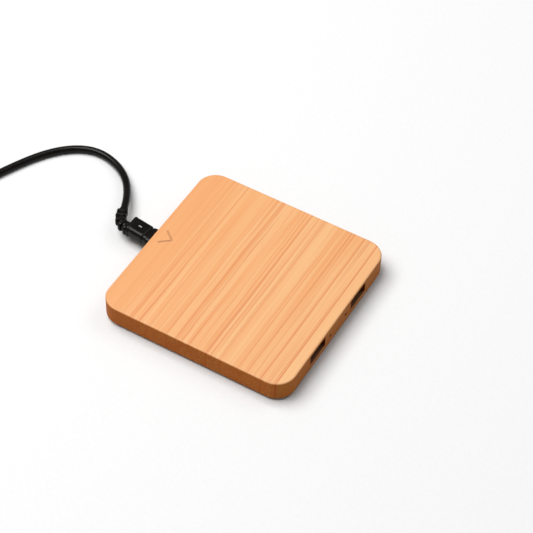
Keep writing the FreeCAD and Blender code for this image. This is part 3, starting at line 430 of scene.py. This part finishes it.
MATERIALS = {
    "bamboo": bamboo(),
    "cover_plastic": moulded("cover_plastic", (0.017, 0.017, 0.018), 0.55, 2.6, 0.00006),
    "foot_rubber": moulded("foot_rubber", (0.022, 0.022, 0.022), 0.78, 1.8, 0.00008),
    "screw_steel": metal("screw_steel", (0.23, 0.23, 0.24), 0.38, (3.0, 3.0, 0.4)),
    "board_laminate": board_laminate(),
    "shell_steel": metal("shell_steel", (0.40, 0.39, 0.38), 0.32, (0.3, 5.0, 5.0)),
    "socket_plastic": moulded("socket_plastic", (0.005, 0.005, 0.005), 0.45, 2.0, 0.00004, 0.2),
    "plug_insert_plastic": moulded("plug_insert_plastic", (0.78, 0.78, 0.76), 0.42, 2.0, 0.00003),
    "contact_gold": metal("contact_gold", (0.83, 0.60, 0.26), 0.26, (0.4, 5.0, 5.0)),
    "led_lens": clear_lens(),
    "tinned_wire": metal("tinned_wire", (0.72, 0.72, 0.71), 0.32, (2.0, 2.0, 0.5)),
    "coil_copper": wound_copper(),
    "adhesive_tape": moulded("adhesive_tape", (0.72, 0.70, 0.64), 0.60, 1.2, 0.00004),
    "ferrite": moulded("ferrite", (0.055, 0.055, 0.060), 0.62, 2.2, 0.00006),
    "foam": foam(),
    "chip_plastic": moulded("chip_plastic", (0.018, 0.018, 0.019), 0.55, 3.0, 0.00004),
    "inductor_body": moulded("inductor_body", (0.13, 0.13, 0.14), 0.60, 2.8, 0.00006),
    "capacitor_ceramic": moulded("capacitor_ceramic", (0.34, 0.23, 0.14), 0.48, 2.0, 0.00003),
    # the plug's rubber, with a painted highlight on top of its nub
    "cable_rubber": moulded(
        "cable_rubber", (0.0030, 0.0024, 0.0021), 0.20, 1.4, 0.00001, 0.12, nub_painted_highlight),
    "strap_fabric": woven_strap(),
}


def dress_cad_nodes():
    """Gives every CAD node the material of its slot."""
    for part in frame["record"]["subparts"]:
        node = frame["nodes"][part["node"]]
        node.data.materials.clear()
        node.data.materials.append(MATERIALS[part["material_slot"]])


# --- cord -----------------------------------------------------------------------------------------
CORD_D = 3.5
CORD_R = CORD_D / 2
ROUTE_IN = [
    (-67.74, 8.26, 6.1), (-72.61, 20.31, 4.5), (-86.0, 33.0, 2.2), (-103.0, 36.5, 1.75),
    (-118.5, 25.5, 1.75), (-130.5, 2.5, 1.75),
]
ROUTE_OUT = [(-189.6, -8.1, 4.85), (-193.3, 3.0, 4.1), (-194.5, 10.5, 4.0)]
COIL_AT = (-163.0, -14.0)
COIL_OUT_R = 25.25
COIL_IN_R = 14.75
COIL_ENTRY = -12.0
COIL_EXIT = 186.0
TIE_ANGLE = 300.0
TIE_T = 0.8
POINTS_PER_TURN = 24
TURNS = 6
LAYER_TURNS = 3.0
TIE_HUMP = 24                 # degrees over which the turns rise over the strap
CURVE_STEPS = 6
STRAP_IN_R = 12.6             # the strap's middle line round the bundle, from the coil's middle
STRAP_OUT_R = 27.4
STRAP_LOW = 0.44
STRAP_HIGH = 8.2
STRAP_BEND = 2.1
STRAP_T = 0.74
STRAP_W = 8.0
STRAP_START = 17.2            # the under end; the upper end laps over it
STRAP_LAP_END = 23.6
STRAP_LIFT = 0.80
STRAP_STEP = 0.22
STRAP_BEND_STEPS = 12
STRAP_LANES = 36
LAP_TIP = 2.0                 # the last bit of the lap stands up a little
LAP_TIP_LIFT = 0.12
RIB_PITCH = 0.88
RIB_DEPTH = 0.035


def coil_points():
    """The coil's turns: inwards on the lower layer, up at the middle, outwards on the upper one."""
    sweep = (COIL_ENTRY - COIL_EXIT) % 360 + TURNS * 360
    steps = round(sweep / 360 * POINTS_PER_TURN)
    widen = 1 / math.cos(math.pi / POINTS_PER_TURN)
    climb = sweep / 360 - 2 * LAYER_TURNS
    points = []
    for k in range(steps + 1):
        turned = sweep / 360 * k / steps
        if turned <= LAYER_TURNS:
            share, level = turned / LAYER_TURNS, 0.0
        elif turned <= LAYER_TURNS + climb:
            lift = (turned - LAYER_TURNS) / climb
            share, level = 1.0, lift * lift * (3 - 2 * lift)
        else:
            share, level = 1 - (turned - LAYER_TURNS - climb) / LAYER_TURNS, 1.0
        radius = (COIL_OUT_R + (COIL_IN_R - COIL_OUT_R) * share) * widen
        angle = COIL_ENTRY - turned * 360
        near_tie = (angle - TIE_ANGLE + 180) % 360 - 180
        raised = TIE_T * math.exp(-(near_tie / TIE_HUMP) ** 2)
        turn = math.radians(angle)
        points.append((COIL_AT[0] + radius * math.cos(turn), COIL_AT[1] + radius * math.sin(turn),
                       CORD_R + level * CORD_D + raised))
    return points


def strap_path():
    """The strap's middle line, as (radius, height): once round the bundle and over its own start."""
    corners = ((STRAP_OUT_R, STRAP_HIGH, 90), (STRAP_OUT_R, STRAP_LOW, 0),
               (STRAP_IN_R, STRAP_LOW, -90), (STRAP_IN_R, STRAP_HIGH, -180))
    marks = [(STRAP_START, STRAP_HIGH)]
    for r, z, first in corners:
        mid_r = r - math.copysign(STRAP_BEND, r - COIL_OUT_R)
        mid_z = z - math.copysign(STRAP_BEND, z - CORD_D)
        for k in range(STRAP_BEND_STEPS + 1):
            turn = math.radians(first - 90 * k / STRAP_BEND_STEPS)
            marks.append((mid_r + STRAP_BEND * math.cos(turn), mid_z + STRAP_BEND * math.sin(turn)))
    ramp = STRAP_IN_R + STRAP_BEND
    for k in range(1, STRAP_BEND_STEPS + 1):
        share = k / STRAP_BEND_STEPS
        rise = share * share * (3 - 2 * share)
        marks.append((ramp + (STRAP_START - ramp) * share, STRAP_HIGH + STRAP_LIFT * rise))
    marks.append((STRAP_LAP_END - LAP_TIP, STRAP_HIGH + STRAP_LIFT))
    marks.append((STRAP_LAP_END, STRAP_HIGH + STRAP_LIFT + LAP_TIP_LIFT))
    path = []
    for (r0, z0), (r1, z1) in zip(marks, marks[1:]):
        run = math.hypot(r1 - r0, z1 - z0)
        pieces = max(1, round(run / STRAP_STEP))
        path += [(r0 + (r1 - r0) * k / pieces, z0 + (z1 - z0) * k / pieces) for k in range(pieces)]
    return path + [marks[-1]]


def strap_section(along):
    """The strap's cross-section at a distance along it: woven ribs, thick selvedges, round edges."""
    half = STRAP_W / 2 - STRAP_T / 2
    ring = []
    for side in (1, -1):
        for k in range(STRAP_LANES + 1):
            w = side * half * (2 * k / STRAP_LANES - 1)
            rib = math.sin(math.tau * along / RIB_PITCH) * math.cos(math.tau * w / RIB_PITCH)
            rib = 1.0 if abs(w) > half - RIB_PITCH / 2 else rib
            ring.append((w, side * (STRAP_T / 2 + RIB_DEPTH * rib)))
        for k in (1, 2, 3):
            turn = math.radians(side * 90 - side * 45 * k)
            ring.append((side * (half + STRAP_T / 2 * math.cos(turn)), STRAP_T / 2 * math.sin(turn)))
    return ring


def make_strap():
    """Woven hook-and-loop strap round the coil, its end lapped on top."""
    path = strap_path()
    turn = math.radians(TIE_ANGLE)
    outward = (math.cos(turn), math.sin(turn))
    mesh = bpy.data.meshes.new("coil_strap")
    body = bmesh.new()
    rings = []
    along = 0.0
    for k, (r, z) in enumerate(path):
        r0, z0 = path[max(0, k - 1)]
        r1, z1 = path[min(len(path) - 1, k + 1)]
        run = math.hypot(r1 - r0, z1 - z0)
        up_r, up_z = -(z1 - z0) / run, (r1 - r0) / run
        along += math.hypot(r - r0, z - z0)
        ring = []
        for w, t in strap_section(along):
            radius = r + up_r * t
            ring.append(body.verts.new((
                (COIL_AT[0] + radius * outward[0] - w * outward[1]) * MM,
                (COIL_AT[1] + radius * outward[1] + w * outward[0]) * MM,
                (z + up_z * t) * MM)))
        rings.append(ring)
    count = len(rings[0])
    for near, far in zip(rings, rings[1:]):
        for k in range(count):
            body.faces.new((near[k], near[(k + 1) % count], far[(k + 1) % count], far[k]))
    body.faces.new(rings[0])
    body.faces.new(reversed(rings[-1]))
    bmesh.ops.recalc_face_normals(body, faces=body.faces)
    body.to_mesh(mesh)
    body.free()
    mesh.shade_smooth()
    mesh.materials.append(MATERIALS["strap_fabric"])
    strap = bpy.data.objects.new("coil_strap", mesh)
    bpy.context.scene.collection.objects.link(strap)
    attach(strap, "cable")
    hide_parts("coil_tie")
    return strap


def make_cord(strap):
    """The whole free cord as one smooth line, from the strain relief to the USB-A plug."""
    points = ROUTE_IN + coil_points() + ROUTE_OUT
    curve = bpy.data.curves.new("power_cord", "CURVE")
    curve.dimensions = "3D"
    curve.bevel_depth = CORD_R * MM
    curve.bevel_resolution = CURVE_STEPS
    curve.resolution_u = CURVE_STEPS
    curve.use_fill_caps = True
    spline = curve.splines.new("NURBS")
    spline.points.add(len(points) - 1)
    for point, (x, y, z) in zip(spline.points, points):
        point.co = (x * MM, y * MM, z * MM, 1)
    spline.order_u = 3
    spline.use_endpoint_u = True
    curve.materials.append(MATERIALS["cable_rubber"])
    cord = bpy.data.objects.new("power_cord", curve)
    bpy.context.scene.collection.objects.link(cord)
    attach(cord, "cable")
    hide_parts("cord_to_coil", "cord_coil", "cord_to_plug")


# --- camera, light and floor ----------------------------------------------------------------------
AIM = Vector((5.6, 8.65, 11.0)) * MM
AIM_AZIMUTH = 28.84
AIM_ELEVATION = 49.16
AIM_DISTANCE = 0.8151
AIM_ROLL = 1.94
LENS = 127.4
CLIP_NEAR = 0.01
CLIP_FAR = 20
WORLD_GLOW = 0.26
KEY_AT = (-0.66, -0.12, 1.55)
KEY_POWER = 45
BACK_AT = (0.55, 0.80, 1.25)
BACK_POWER = 5
KEY_SIZE = 1.3
BACK_SIZE = 0.8
FLOOR_SIZE = 6.0
FLOOR_DARK = (0.58, 0.58, 0.58)
FLOOR_LIGHT = (0.62, 0.62, 0.62)


def make_camera():
    """A long lens from the front right, tilted a little about its axis."""
    azimuth = math.radians(AIM_AZIMUTH)
    elevation = math.radians(AIM_ELEVATION)
    back = Vector((math.sin(azimuth) * math.cos(elevation), -math.cos(azimuth) * math.cos(elevation),
                   math.sin(elevation)))
    data = bpy.data.cameras.new("camera")
    data.lens = LENS
    data.clip_start = CLIP_NEAR
    data.clip_end = CLIP_FAR
    camera = bpy.data.objects.new("camera", data)
    bpy.context.scene.collection.objects.link(camera)
    camera.location = AIM + back * AIM_DISTANCE
    camera.rotation_mode = "QUATERNION"
    camera.rotation_quaternion = (-back).to_track_quat("-Z", "Y") @ Quaternion(
        (0, 0, 1), math.radians(AIM_ROLL))
    bpy.context.scene.camera = camera


def area_light(name, place, size, power):
    """A square soft box at place, turned to the pad."""
    data = bpy.data.lights.new(name, "AREA")
    data.size = size
    data.energy = power
    light = bpy.data.objects.new(name, data)
    light.location = place
    light.rotation_mode = "QUATERNION"
    light.rotation_quaternion = (-Vector(place)).to_track_quat("-Z", "Y")
    bpy.context.scene.collection.objects.link(light)


def make_stage():
    """A pale floor that fades into a white room, and soft light from above and behind."""
    bpy.ops.mesh.primitive_plane_add(size=FLOOR_SIZE, location=(0, 0, 0))
    floor = bpy.context.object
    floor.name = "floor"
    g = Graph("floor_paper")
    grain = g.noise(g.place(), 0.6, 3.0, 0.5)
    g.set(Base_Color=g.mix(grain, FLOOR_DARK, FLOOR_LIGHT), Roughness=0.9)
    floor.data.materials.append(g.material)
    world = bpy.data.worlds.new("studio")
    bpy.context.scene.world = world
    world.use_nodes = True
    background = world.node_tree.nodes["Background"]
    background.inputs["Color"].default_value = (1, 1, 1, 1)
    background.inputs["Strength"].default_value = WORLD_GLOW
    area_light("key", KEY_AT, KEY_SIZE, KEY_POWER)
    area_light("back", BACK_AT, BACK_SIZE, BACK_POWER)
    bpy.context.scene.view_settings.view_transform = "Standard"


dress_cad_nodes()
make_cord(make_strap())
make_camera()
make_stage()
